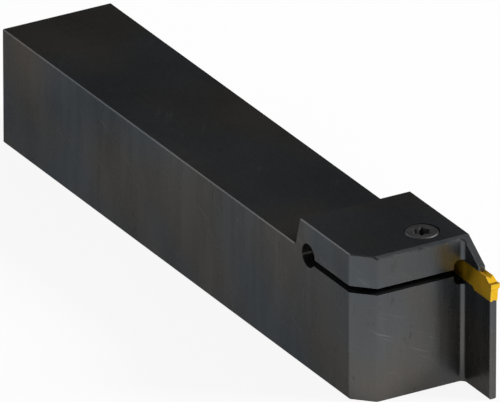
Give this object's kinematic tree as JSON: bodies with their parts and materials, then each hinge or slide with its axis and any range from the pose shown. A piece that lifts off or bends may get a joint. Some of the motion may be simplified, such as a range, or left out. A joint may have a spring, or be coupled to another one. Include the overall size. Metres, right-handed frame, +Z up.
{
  "type": "turning tool holder",
  "caption": "Square-shank grooving and parting tool holder with a thin support blade, a sprung clamp jaw, a clamp screw and a small coated insert.",
  "frame": {"origin": "middle of the rear end's bottom edge, on the face that the shank is clamped on", "axes": "+X along the shank from its rear end to the cutting edge, +Y to the side that carries the blade and the insert, +Z up"},
  "size_m": [0.1515, 0.0252, 0.0312],
  "materials": {
    "black_steel": "satin black oxide",
    "screw_steel": "satin black oxide",
    "gold_coating": "satin"
  },
  "bodies": {
    "holder": {"holder_body": "black_steel"},
    "screw": {"clamp_screw": "screw_steel"},
    "insert": {"grooving_insert": "gold_coating"}
  },
  "joints": [
    {"name": "screw_turn", "type": "hinge", "parent": "holder", "child": "screw", "pos_m": [0.1345, 0.0051, 0.02715], "axis": [0, 0, 1], "range_deg": [0, 720]},
    {"name": "insert_slide", "type": "slide", "parent": "holder", "child": "insert", "axis": [1, 0, 0], "range_m": [0, 0.016]}
  ]
}
